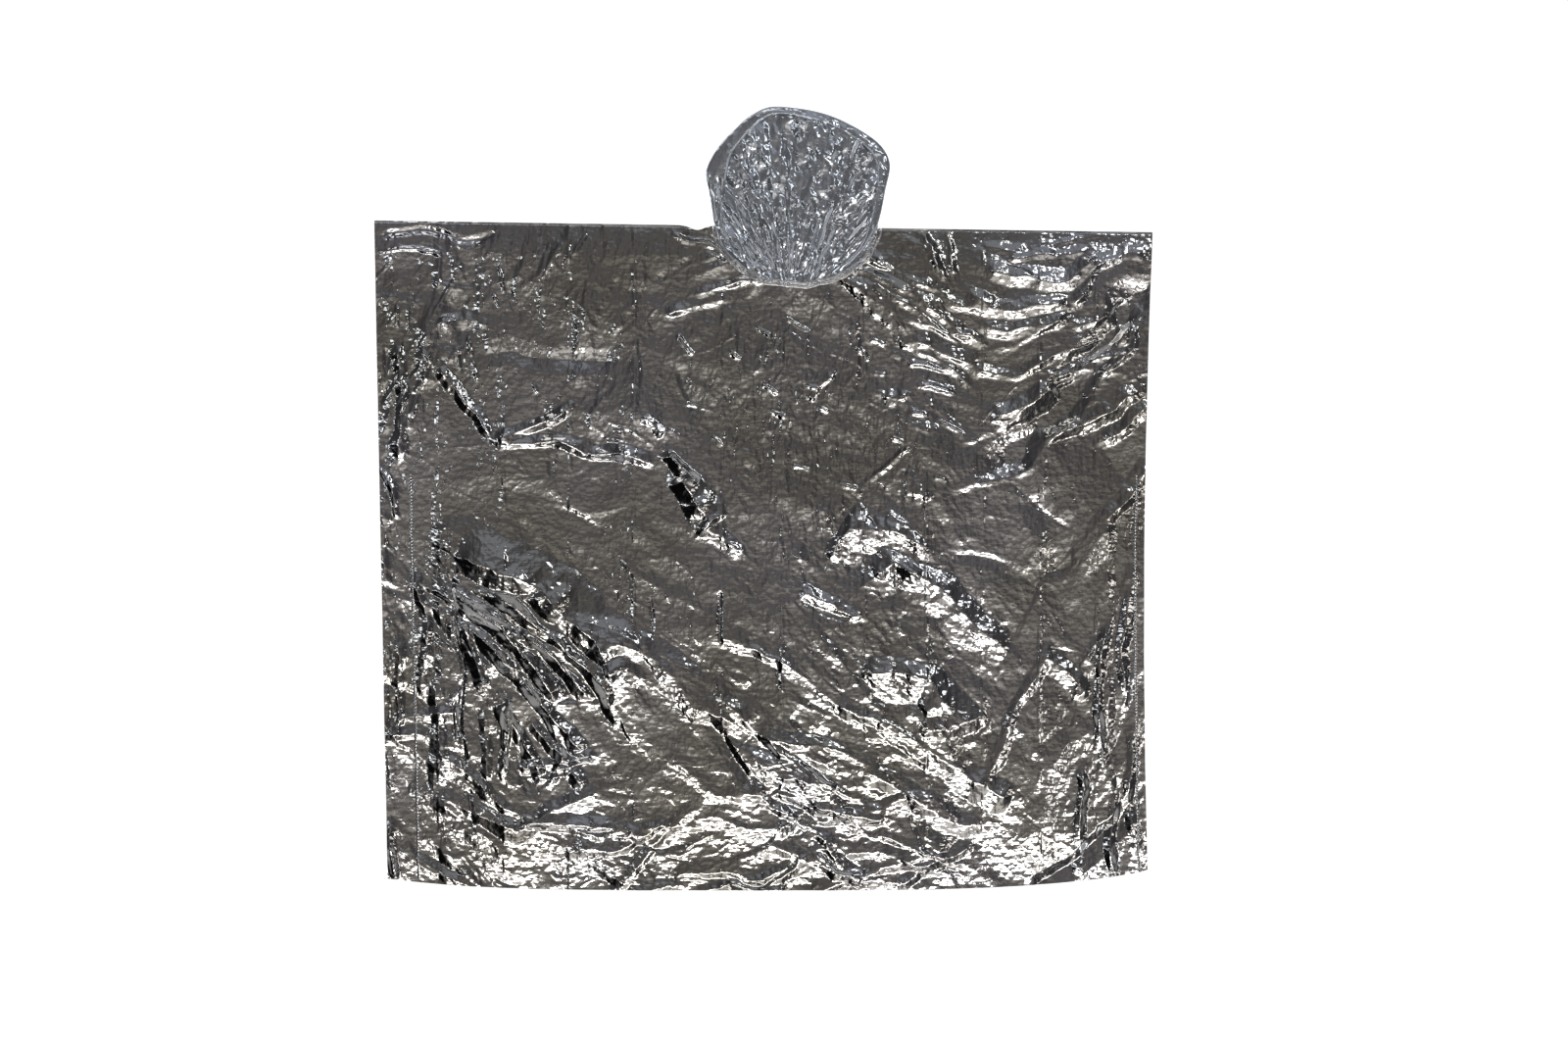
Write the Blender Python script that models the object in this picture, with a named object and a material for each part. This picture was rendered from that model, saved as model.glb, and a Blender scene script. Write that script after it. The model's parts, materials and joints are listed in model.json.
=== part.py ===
"""Hooded emergency poncho of metallised film, laid flat on its back.

+Z is up, +Y runs from the hem to the crown of the hood, and +X is the wearer's left,
on the right as the open face of the hood is looked at.
The origin is on the ground, under the middle of the whole outline.
The film is folded over at the shoulders, so the body is two layers with a hollow between.
Each side of the body folds up like a concertina along its packing creases, and the hood
folds forward at the neck. Every film piece here is thicker than the real film.
"""

import math

import bpy
from mathutils import Matrix, Vector

# Film layers: z levels of the body, from the ground up.
FILM = 0.0008
BODY_HOLLOW = 0.0054
BODY_TOP = 2 * FILM + BODY_HOLLOW
HOOD_TOP = 0.020
CLEARANCE = 0.0003

# Outline of the body.
BODY_HALF_WIDTH = 0.635
SHOULDER_Y = 0.444
SHOULDER_SLOPE = -0.0151
LEFT_EDGE_TAPER = 0.0207
RIGHT_WAIST_X = 0.6208
RIGHT_WAIST_Y = -0.200
RIGHT_EDGE_BOW = 0.0353
HEM_LOW_Y = -0.639
HEM_LOW_X = -0.033
HEM_RISE = 0.168

# Packing creases that fold: the innermost one of each side, the spacing, and how many.
LEFT_CREASE_X = -0.211
LEFT_STRIP_WIDTH = 0.106
RIGHT_CREASE_X = 0.265
RIGHT_STRIP_WIDTH = 0.0925
STRIPS_PER_SIDE = 4

# Folded shoulder edge and welded side seams.
SHOULDER_FOLD_DEPTH = 0.004
SEAL_WIDTH = 0.005
LEFT_SEAL_INSET = 0.048
RIGHT_SEAL_INSET = 0.012
SEAL_TOP_Y = 0.040

# Neck hole, cut through both layers, and the weld around it.
NECK_X = 0.0535
NECK_HALF_WIDTH = 0.1335
NECK_DEPTH = 0.095
NECK_SEAL_WIDTH = 0.008

# Hood.
HOOD_FOLD_Y = 0.4468
HOOD_FOLD_Z = 0.014
BRIM_WIDTH = 0.024
CROWN_FOLD_WIDTH = 0.003
HOOD_CORNER = (-0.0944, 0.535)
HOOD_LEFT_FOOT_X = -0.080
HOOD_CROWN = [
    (-0.048, 0.601),
    (-0.005, 0.634),
    (0.036, 0.639),
    (0.109, 0.625),
    (0.178, 0.588),
    (0.206, 0.550),
    (0.199, 0.500),
]
HOOD_RIGHT_FOOT_X = 0.187

ARC_STEPS = 28
LINE_STEPS = 6

FILM_COLOUR = (0.62, 0.62, 0.63, 1.0)
INNER_COLOUR = (0.50, 0.51, 0.54, 1.0)
HOOD_COLOUR = (0.68, 0.71, 0.76, 1.0)
SEAL_COLOUR = (0.82, 0.83, 0.85, 1.0)


def clear_scene():
    for thing in list(bpy.data.objects):
        bpy.data.objects.remove(thing, do_unlink=True)


def film_material(name, colour, roughness):
    material = bpy.data.materials.new(name)
    material.use_nodes = True
    shader = material.node_tree.nodes["Principled BSDF"]
    shader.inputs["Base Color"].default_value = colour
    shader.inputs["Metallic"].default_value = 1.0
    shader.inputs["Roughness"].default_value = roughness
    return material


def shoulder_y(x):
    """The folded top edge of the body, which dips slightly towards +X."""
    return SHOULDER_Y + SHOULDER_SLOPE * x


def hem_y(x):
    """The cut lower edge, nearly straight and lifting at both corners."""
    return HEM_LOW_Y + HEM_RISE * (x - HEM_LOW_X) ** 4


def left_edge_x(y):
    return -BODY_HALF_WIDTH + LEFT_EDGE_TAPER * (shoulder_y(-BODY_HALF_WIDTH) - y)


def right_edge_x(y):
    return RIGHT_WAIST_X + RIGHT_EDGE_BOW * (y - RIGHT_WAIST_Y) ** 2


def steps_between(first, last, count):
    return [first + (last - first) * i / count for i in range(count + 1)]


def crease_line(x):
    """A boundary along a packing crease, from the shoulder to the hem."""
    return [(x, shoulder_y(x)), (x, hem_y(x))]


def edge_line(edge_x, corner_x, inset=0.0, top=None):
    """A boundary along a side edge, or inside it by inset, from top to the hem."""
    first = shoulder_y(corner_x) if top is None else top
    heights = steps_between(first, hem_y(edge_x(hem_y(corner_x))), LINE_STEPS)
    return [(edge_x(y) + inset, y) for y in heights]


def panel_outline(left_line, right_line, top_edge=()):
    """Goes down the left line, along the hem, up the right line and back along the top edge."""
    hem = steps_between(left_line[-1][0], right_line[-1][0], LINE_STEPS)[1:-1]
    return left_line + [(x, hem_y(x)) for x in hem] + right_line[::-1] + list(top_edge)


def neck_arc(margin):
    """The lower half of the neck hole's ellipse, grown by margin, from +X round to -X."""
    points = []
    for angle in steps_between(0, -math.pi, ARC_STEPS):
        x = NECK_X + (NECK_HALF_WIDTH + margin) * math.cos(angle)
        y = shoulder_y(x) + (NECK_DEPTH + margin) * math.sin(angle)
        points.append((x, y))
    return points


def neck_band(outer_margin, inner_margin):
    return neck_arc(outer_margin) + neck_arc(inner_margin)[::-1]


def smooth_line(points, steps):
    """Catmull-Rom curve through the points."""
    padded = [points[0]] + points + [points[-1]]
    line = []
    for a, b, c, d in zip(padded, padded[1:], padded[2:], padded[3:]):
        a, b, c, d = Vector(a), Vector(b), Vector(c), Vector(d)
        for i in range(steps):
            t = i / steps
            point = b + 0.5 * t * (c - a + t * (2 * a - 5 * b + 4 * c - d + t * (3 * (b - c) + d - a)))
            line.append((point.x, point.y))
    line.append(points[-1])
    return line


def hood_line():
    """Outer edge of the hood, from its left foot over the crown to its right foot."""
    left_side = [(HOOD_LEFT_FOOT_X, HOOD_FOLD_Y + CLEARANCE), HOOD_CORNER]
    right_foot = (HOOD_RIGHT_FOOT_X, HOOD_FOLD_Y + CLEARANCE)
    return left_side[:1] + smooth_line([HOOD_CORNER] + HOOD_CROWN + [right_foot], LINE_STEPS)


def inset_line(line, distance):
    """The line moved inwards by distance, with its two ends kept at their own height."""
    moved = []
    for i, point in enumerate(line):
        before = Vector(line[max(i - 1, 0)])
        after = Vector(line[min(i + 1, len(line) - 1)])
        along = (after - before).normalized()
        moved.append((point[0] + along.y * distance, point[1] - along.x * distance))
    moved[0] = (line[0][0] + distance, line[0][1])
    moved[-1] = (line[-1][0] - distance, line[-1][1])
    return moved


def film_piece(name, outline, bottom, top, material, pivot):
    """A flat outline, filled and extruded from bottom to top, that turns with its pivot."""
    curve = bpy.data.curves.new(name, "CURVE")
    curve.dimensions = "2D"
    curve.fill_mode = "BOTH"
    curve.extrude = (top - bottom) / 2
    spline = curve.splines.new("POLY")
    spline.points.add(len(outline) - 1)
    for point, (x, y) in zip(spline.points, outline):
        point.co = (x, y, 0, 1)
    spline.use_cyclic_u = True
    curve.materials.append(material)
    piece = bpy.data.objects.new(name, curve)
    piece.location.z = (top + bottom) / 2
    piece.parent = pivot
    piece.matrix_parent_inverse = Matrix.Translation(-Vector(pivot["place"]))
    bpy.data.collections["poncho"].objects.link(piece)
    return piece


def pivot_at(name, place, parent=None):
    """An empty on a fold's axis. Its world position is kept on it for what it carries."""
    pivot = bpy.data.objects.new(name, None)
    pivot.empty_display_size = 0.03
    pivot["place"] = place
    pivot.location = place
    if parent is not None:
        pivot.parent = parent
        pivot.matrix_parent_inverse = Matrix.Translation(-Vector(parent["place"]))
    bpy.data.collections["poncho"].objects.link(pivot)
    return pivot


def layers(name, outline, materials, pivot):
    """The front and back film of one stretch of the body."""
    film_piece("front_panel_" + name, outline, BODY_TOP - FILM, BODY_TOP, materials["film"], pivot)
    film_piece("back_panel_" + name, outline, 0, FILM, materials["inner"], pivot)


def between_layers(name, outline, material, pivot):
    film_piece(name, outline, FILM + CLEARANCE, BODY_TOP - FILM - CLEARANCE, material, pivot)


def shoulder_fold(name, left_x, right_x, materials, pivot):
    """The film's turn over the shoulder, which closes the hollow along the top edge."""
    outline = [
        (left_x, shoulder_y(left_x)),
        (left_x, shoulder_y(left_x) - SHOULDER_FOLD_DEPTH),
        (right_x, shoulder_y(right_x) - SHOULDER_FOLD_DEPTH),
        (right_x, shoulder_y(right_x)),
    ]
    between_layers("shoulder_fold_" + name, outline, materials["film"], pivot)


def build_strips(side, crease_x, width, materials, root):
    """One side's strips, each hinged to the one before by creases that alternate top and bottom."""
    outwards = math.copysign(1, crease_x)
    pivot = root
    for i in range(STRIPS_PER_SIDE):
        inner_x = crease_x + outwards * width * i
        axis_z = BODY_TOP + CLEARANCE if i % 2 == 0 else -CLEARANCE
        pivot = pivot_at(f"{side}_crease_{i + 1}", (inner_x, 0, axis_z), pivot)
        near_x = inner_x + outwards * CLEARANCE
        far_x = inner_x + outwards * (width - CLEARANCE)
        near, far = crease_line(near_x), crease_line(far_x)
        if i == STRIPS_PER_SIDE - 1:
            edge_x = left_edge_x if outwards < 0 else right_edge_x
            far_x = outwards * BODY_HALF_WIDTH
            far = edge_line(edge_x, far_x)
        lines = (far, near) if outwards < 0 else (near, far)
        layers(f"{side}_{i + 1}", panel_outline(*lines), materials, pivot)
        shoulder_fold(f"{side}_{i + 1}", min(near_x, far_x), max(near_x, far_x), materials, pivot)
    return pivot


def build_side_seals(left_pivot, right_pivot, materials):
    """The welded seams, from the bottom of each arm opening down to the hem."""
    sides = [
        ("side_seal_left", left_edge_x, -BODY_HALF_WIDTH, LEFT_SEAL_INSET, SEAL_WIDTH, left_pivot),
        ("side_seal_right", right_edge_x, BODY_HALF_WIDTH, -RIGHT_SEAL_INSET, -SEAL_WIDTH, right_pivot),
    ]
    for name, edge_x, corner_x, inset, width, pivot in sides:
        outer = edge_line(edge_x, corner_x, inset, SEAL_TOP_Y)
        inner = edge_line(edge_x, corner_x, inset + width, SEAL_TOP_Y)
        between_layers(name, outer + inner[::-1], materials["seal"], pivot)


def build_centre(materials, root):
    """The middle of the body, with the neck hole through both layers."""
    left_x, right_x = LEFT_CREASE_X + CLEARANCE, RIGHT_CREASE_X - CLEARANCE
    outline = panel_outline(crease_line(left_x), crease_line(right_x), neck_arc(CLEARANCE))
    layers("centre", outline, materials, root)
    neck_left = NECK_X - NECK_HALF_WIDTH - CLEARANCE
    neck_right = NECK_X + NECK_HALF_WIDTH + CLEARANCE
    shoulder_fold("centre_left", left_x, neck_left, materials, root)
    shoulder_fold("centre_right", neck_right, right_x, materials, root)


def build_neck(materials, root):
    """The weld around the neck hole and the hood's lower film inside it."""
    band = neck_band(0, -NECK_SEAL_WIDTH)
    film_piece("neck_seal_front", band, BODY_TOP - FILM, BODY_TOP, materials["seal"], root)
    film_piece("neck_seal_back", band, 0, FILM, materials["seal"], root)
    yoke = neck_arc(-NECK_SEAL_WIDTH - CLEARANCE)
    film_piece("hood_yoke", yoke, 0, FILM, materials["hood"], root)


def build_hood(materials, root):
    """Back film, the fold over the crown and the brim around the face opening."""
    pivot = pivot_at("hood_fold", (NECK_X, HOOD_FOLD_Y, HOOD_FOLD_Z), root)
    line = hood_line()
    brim = line + inset_line(line, BRIM_WIDTH)[::-1]
    crown = line + inset_line(line, CROWN_FOLD_WIDTH)[::-1]
    film_piece("hood_back", line, 0, FILM, materials["hood"], pivot)
    film_piece("hood_brim", brim, HOOD_TOP - FILM, HOOD_TOP, materials["hood"], pivot)
    wall_bottom, wall_top = FILM + CLEARANCE, HOOD_TOP - FILM - CLEARANCE
    film_piece("hood_crown_fold", crown, wall_bottom, wall_top, materials["hood"], pivot)


def main():
    clear_scene()
    collection = bpy.data.collections.new("poncho")
    bpy.context.scene.collection.children.link(collection)
    materials = {
        "film": film_material("outer_film", FILM_COLOUR, 0.18),
        "inner": film_material("inner_film", INNER_COLOUR, 0.25),
        "hood": film_material("hood_film", HOOD_COLOUR, 0.22),
        "seal": film_material("weld", SEAL_COLOUR, 0.35),
    }
    root = pivot_at("body_centre", (0, 0, 0))
    build_centre(materials, root)
    build_neck(materials, root)
    build_hood(materials, root)
    left_pivot = build_strips("left", LEFT_CREASE_X, LEFT_STRIP_WIDTH, materials, root)
    right_pivot = build_strips("right", RIGHT_CREASE_X, RIGHT_STRIP_WIDTH, materials, root)
    build_side_seals(left_pivot, right_pivot, materials)


main()
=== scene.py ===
"""Looks of the hooded emergency poncho: crinkled metallised film laid flat on a pale floor.

Every sheet of film is a dense grid over the plan of its CAD nodes. Its relief comes from one
height map a layer, so sheets that meet share their edge and their normals. The body's sheets
each cross one packing crease, and the hood's film reaches down to the neck.
"""

import json
import math

import bpy
import numpy as np
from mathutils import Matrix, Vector


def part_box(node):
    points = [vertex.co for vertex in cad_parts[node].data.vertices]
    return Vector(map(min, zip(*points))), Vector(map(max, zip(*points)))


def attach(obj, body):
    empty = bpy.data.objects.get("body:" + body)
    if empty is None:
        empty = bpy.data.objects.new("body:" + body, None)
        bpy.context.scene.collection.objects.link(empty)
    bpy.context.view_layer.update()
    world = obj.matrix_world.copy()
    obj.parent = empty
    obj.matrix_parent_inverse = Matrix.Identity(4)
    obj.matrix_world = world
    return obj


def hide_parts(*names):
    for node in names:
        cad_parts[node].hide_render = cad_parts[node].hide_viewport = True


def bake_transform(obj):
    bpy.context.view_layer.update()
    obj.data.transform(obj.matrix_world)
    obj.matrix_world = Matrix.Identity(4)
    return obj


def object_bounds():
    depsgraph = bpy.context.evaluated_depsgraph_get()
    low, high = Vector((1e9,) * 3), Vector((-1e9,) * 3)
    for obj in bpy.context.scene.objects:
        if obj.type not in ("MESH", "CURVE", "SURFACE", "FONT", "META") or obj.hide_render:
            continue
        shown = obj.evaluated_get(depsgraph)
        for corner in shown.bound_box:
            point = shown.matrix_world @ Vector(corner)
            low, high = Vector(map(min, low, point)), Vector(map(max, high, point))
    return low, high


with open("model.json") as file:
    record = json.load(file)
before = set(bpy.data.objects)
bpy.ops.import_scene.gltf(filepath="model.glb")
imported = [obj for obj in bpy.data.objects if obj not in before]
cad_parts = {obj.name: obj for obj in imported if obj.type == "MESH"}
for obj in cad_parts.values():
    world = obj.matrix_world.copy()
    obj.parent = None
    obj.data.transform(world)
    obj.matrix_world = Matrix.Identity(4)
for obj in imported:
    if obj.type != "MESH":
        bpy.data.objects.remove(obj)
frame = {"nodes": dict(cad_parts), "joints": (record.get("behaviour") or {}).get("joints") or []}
CAD_BOX = [list(corner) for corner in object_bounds()]

# Grid of the visible meshes and of the height maps, metres.
CELL = 0.002
BACK_CELL = 0.005
MAP_CELL = 0.0012
MAP_MARGIN = 0.02

# Film levels above the floor.
BACK_LEVEL = 0.0012
LAYER_GAP = 0.0006
FRONT_LEVEL = 0.004
LOWEST = 0.0004

# How far the first strips' sheets reach into the centre.
CENTRE_REACH = 0.06

SEED = 7

# Side welds stand this far in from the edges.
WELD_INSET = {"left": 0.0505, "right": 0.0145}


# ---------------- plan of the poncho


def node_points(name):
    """Plan points of a CAD node's upper face."""
    vertices = frame["nodes"][name].data.vertices
    top = max(v.co.z for v in vertices)
    return np.array([(v.co.x, v.co.y) for v in vertices if v.co.z > top - 1e-4])


def joint_place(name):
    return next(j["pos_m"] for j in frame["joints"] if j["name"] == name)


STRIPS = 4
CREASES = {
    side: [joint_place(f"{side}_crease_{i + 1}")[0] for i in range(STRIPS)]
    for side in ("left", "right")
}
NECK_FOLD_Y = joint_place("hood_fold")[1]
MIDDLE_CREASES = [-0.067, 0.03, 0.165]
FRONT_NODES = ["front_panel_centre"] + [
    f"front_panel_{side}_{i + 1}" for side in CREASES for i in range(STRIPS)
]
BODY_POINTS = np.concatenate([node_points(n) for n in FRONT_NODES])
LEFT_POINTS = node_points(f"front_panel_left_{STRIPS}")
RIGHT_POINTS = node_points(f"front_panel_right_{STRIPS}")
TOP_LEFT = LEFT_POINTS[np.argmax(LEFT_POINTS[:, 1] - LEFT_POINTS[:, 0])]
TOP_RIGHT = RIGHT_POINTS[np.argmax(RIGHT_POINTS[:, 1] + RIGHT_POINTS[:, 0])]
HEM_POINTS = BODY_POINTS[BODY_POINTS[:, 1] < -0.55]
HEM_POINTS = HEM_POINTS[np.argsort(HEM_POINTS[:, 0])]


def side_points(points, crease_x):
    """The outer edge of an outermost strip, sorted by y."""
    outer = points[np.abs(points[:, 0] - crease_x) > 0.07]
    return outer[np.argsort(outer[:, 1])]


LEFT_SIDE = side_points(LEFT_POINTS, CREASES["left"][-1])
RIGHT_SIDE = side_points(RIGHT_POINTS, CREASES["right"][-1])


def shoulder_y(x):
    return np.interp(x, [TOP_LEFT[0], TOP_RIGHT[0]], [TOP_LEFT[1], TOP_RIGHT[1]])


def hem_y(x):
    return np.interp(x, HEM_POINTS[:, 0], HEM_POINTS[:, 1])


def left_x(y):
    return np.interp(y, LEFT_SIDE[:, 1], LEFT_SIDE[:, 0])


def right_x(y):
    return np.interp(y, RIGHT_SIDE[:, 1], RIGHT_SIDE[:, 0])


NECK_LO, NECK_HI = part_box("neck_seal_front")
NECK_X = (NECK_LO[0] + NECK_HI[0]) / 2
NECK_HALF_WIDTH = (NECK_HI[0] - NECK_LO[0]) / 2
NECK_DEPTH = float(shoulder_y(NECK_X)) - NECK_LO[1]


# The film is cut away inside this share of the neck hole's radius, just under the weld.
NECK_HOLE = 0.985


def neck_radius(x, y):
    """1 on the neck hole's edge, under 1 inside it."""
    return np.hypot((x - NECK_X) / NECK_HALF_WIDTH, (y - shoulder_y(x)) / NECK_DEPTH)


# ---------------- relief


def hashed(i, j, seed):
    """A repeatable random number from -1 to 1 for each lattice point."""
    n = (i * 374761393 + j * 668265263 + seed * 1442695041) & 0xFFFFFFFF
    n = ((n ^ (n >> 13)) * 1274126177) & 0xFFFFFFFF
    return ((n ^ (n >> 16)) & 0xFFFF) / 32767.5 - 1


def smooth_noise(x, y, size, seed):
    """Soft bumps about size across."""
    u, v = x / size, y / size
    i, j = np.floor(u).astype(np.int64), np.floor(v).astype(np.int64)
    s, t = u - i, v - j
    s, t = s * s * (3 - 2 * s), t * t * (3 - 2 * t)
    low = hashed(i, j, seed) * (1 - s) + hashed(i + 1, j, seed) * s
    high = hashed(i, j + 1, seed) * (1 - s) + hashed(i + 1, j + 1, seed) * s
    return low * (1 - t) + high * t


def facets(x, y, size, seed, stretch=1.0, angle=0.0, warp=0.35):
    """Flat facets with sharp creases between them, on a bent lattice of triangles."""
    c, s = math.cos(angle), math.sin(angle)
    u, v = (x * c + y * s) / stretch, y * c - x * s
    du = smooth_noise(x, y, size * 1.7, seed + 11)
    dv = smooth_noise(x, y, size * 1.7, seed + 23)
    u, v = u / size + warp * du, v / size + warp * dv
    skew = (u + v) * 0.36602540378
    i, j = np.floor(u + skew), np.floor(v + skew)
    back = (i + j) * 0.2113248654
    p, q = u - i + back, v - j + back
    upper = p > q
    i, j = i.astype(np.int64), j.astype(np.int64)
    a, d = hashed(i, j, seed), hashed(i + 1, j + 1, seed)
    b = np.where(upper, hashed(i + 1, j, seed), hashed(i, j + 1, seed))
    fine_u, fine_v = u + skew - i, v + skew - j
    near, far = np.maximum(fine_u, fine_v), np.minimum(fine_u, fine_v)
    return a * (1 - near) + b * (near - far) + d * far


def tent(d, low, high):
    """A sharp ridge at 0 that falls to nothing at -low and at high."""
    return np.clip(np.where(d < 0, 1 + d / low, 1 - d / high), 0, 1)


def cell_borders(x, y, size, seed, stretch=1.0, angle=0.0):
    """How far each point is from the nearest border between random cells."""
    c, s = math.cos(angle), math.sin(angle)
    u, v = (x * c + y * s) / stretch / size, (y * c - x * s) / size
    u = u + 0.15 * smooth_noise(u, v, 1.3, seed + 5)
    v = v + 0.15 * smooth_noise(u, v, 1.3, seed + 6)
    i, j = np.floor(u).astype(np.int64), np.floor(v).astype(np.int64)
    first, second = np.full(u.shape, 9.0), np.full(u.shape, 9.0)
    for a in (-1, 0, 1):
        for b in (-1, 0, 1):
            px = i + a + 0.5 + 0.45 * hashed(i + a, j + b, seed)
            py = j + b + 0.5 + 0.45 * hashed(i + a, j + b, seed + 1)
            d = np.hypot(u - px, v - py)
            second = np.where(d < first, first, np.minimum(second, d))
            first = np.minimum(first, d)
    return (second - first) * size


def crinkles(x, y, size, width, seed, stretch=1.0, angle=0.0):
    """Thin pinched ridges along the borders of random cells, strong here and faint there."""
    border = cell_borders(x, y, size, seed, stretch, angle)
    strength = smooth_noise(x, y, size * 0.9, seed + 9)
    return strength * tent(border, width, width)


def fold(x, y, line, height, low, high):
    """A ridge along a line. low and high are its widths to the right and left of the line's way."""
    nearest = np.full(x.shape, 1e9)
    side, along = np.zeros(x.shape), np.zeros(x.shape)
    total = sum(math.dist(a, b) for a, b in zip(line, line[1:]))
    done = 0.0
    for (x0, y0), (x1, y1) in zip(line, line[1:]):
        length = math.hypot(x1 - x0, y1 - y0)
        way_x, way_y = (x1 - x0) / length, (y1 - y0) / length
        t = np.clip((x - x0) * way_x + (y - y0) * way_y, 0, length)
        off_x, off_y = x - x0 - t * way_x, y - y0 - t * way_y
        distance = np.hypot(off_x, off_y)
        closer = distance < nearest
        nearest = np.where(closer, distance, nearest)
        signed = np.where(off_y * way_x - off_x * way_y < 0, -distance, distance)
        side = np.where(closer, signed, side)
        along = np.where(closer, (done + t) / total, along)
        done += length
    taper = np.clip(np.minimum(along, 1 - along) * 8 + 0.25, 0, 1)
    seed = int(abs(line[0][0]) * 9973)
    uneven = 0.85 + 0.3 * smooth_noise(along * total, side * 0, 0.022, seed)
    return height * taper * uneven * tent(side, low, high)


def add_folds(relief, grid, bent, folds):
    """Adds each fold to the part of the map in its reach. bent is the grid made uneven."""
    xs, ys = grid[0][0], grid[1][:, 0]
    for line, height, low, high in folds:
        reach = max(low, high) + 0.03
        across, up = [p[0] for p in line], [p[1] for p in line]
        i = np.searchsorted(xs, [min(across) - reach, max(across) + reach])
        j = np.searchsorted(ys, [min(up) - reach, max(up) + reach])
        if i[0] < i[1] and j[0] < j[1]:
            part = (slice(j[0], j[1]), slice(i[0], i[1]))
            relief[part] += fold(bent[0][part], bent[1][part], line, height, low, high)


def scattered_folds(count, lengths, heights, widths, lean, least, seed):
    """Small folds strewn over the front, the way the film pulls. lean is how lopsided they are."""
    rng = np.random.default_rng(seed)
    folds = []
    while len(folds) < count:
        x = rng.uniform(PLAN_LOW[0], PLAN_HIGH[0])
        y = rng.uniform(PLAN_LOW[1], PLAN_HIGH[1])
        place = np.array([x]), np.array([y])
        rough = float(crumpling(*place)[0])
        if rough < least or rng.random() > 0.08 + 1.4 * rough:
            continue
        shares = [float(share[0]) for share in flow_shares(*place)]
        flow = FLOWS[rng.choice(len(FLOWS), p=np.array(shares) / sum(shares))]
        angle = flow[0] + rng.normal(0, 0.28)
        half = rng.uniform(*lengths) / 2
        dx, dy = half * math.cos(angle), half * math.sin(angle)
        width = rng.uniform(*widths)
        pair = [width, width * rng.uniform(1, lean)]
        if rng.random() < 0.4:
            pair.reverse()
        height = rng.uniform(*heights) * (0.45 + 0.75 * rough)
        height = height if rng.random() < 0.8 else -height
        bend = rng.normal(0, 0.12)
        line = [(x - dx, y - dy), (x - dy * bend, y + dx * bend), (x + dx, y + dy)]
        folds.append((line, height, *pair))
    return folds


def blurred(h, passes):
    for _ in range(passes):
        h = np.pad(h, 1, mode="edge")
        h = (h[:-2] + 2 * h[1:-1] + h[2:]) / 4
        h = (h[:, :-2] + 2 * h[:, 1:-1] + h[:, 2:]) / 4
    return h


class HeightMap:
    """Heights on a regular raster, read anywhere in between."""

    def __init__(self, low, high, relief, soften=1):
        self.low = np.array(low) - MAP_MARGIN
        count = np.ceil((np.array(high) + MAP_MARGIN - self.low) / MAP_CELL).astype(int) + 1
        xs = self.low[0] + MAP_CELL * np.arange(count[0])
        ys = self.low[1] + MAP_CELL * np.arange(count[1])
        x, y = np.meshgrid(xs, ys)
        self.height = blurred(relief(x, y), soften)
        self.slope_y, self.slope_x = np.gradient(self.height, MAP_CELL)

    def read(self, values, x, y):
        u = (x - self.low[0]) / MAP_CELL
        v = (y - self.low[1]) / MAP_CELL
        i = np.clip(u.astype(int), 0, values.shape[1] - 2)
        j = np.clip(v.astype(int), 0, values.shape[0] - 2)
        s, t = u - i, v - j
        low = values[j, i] * (1 - s) + values[j, i + 1] * s
        high = values[j + 1, i] * (1 - s) + values[j + 1, i + 1] * s
        return low * (1 - t) + high * t

    def heights(self, x, y):
        return self.read(self.height, x, y)

    def normals(self, x, y):
        slope_x, slope_y = self.read(self.slope_x, x, y), self.read(self.slope_y, x, y)
        n = np.stack([-slope_x, -slope_y, np.ones_like(x)], -1)
        return n / np.linalg.norm(n, axis=-1, keepdims=True)


def in_metres(folds):
    """Folds given in millimetres: a height, two widths and a line of points each."""
    return [
        ([(x / 1000, y / 1000) for x, y in line], height / 1000, low / 1000, high / 1000)
        for height, low, high, *line in folds
    ]


PLAN_LOW = [CAD_BOX[0][0], CAD_BOX[0][1]]
PLAN_HIGH = [CAD_BOX[1][0], float(TOP_LEFT[1])]

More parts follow.
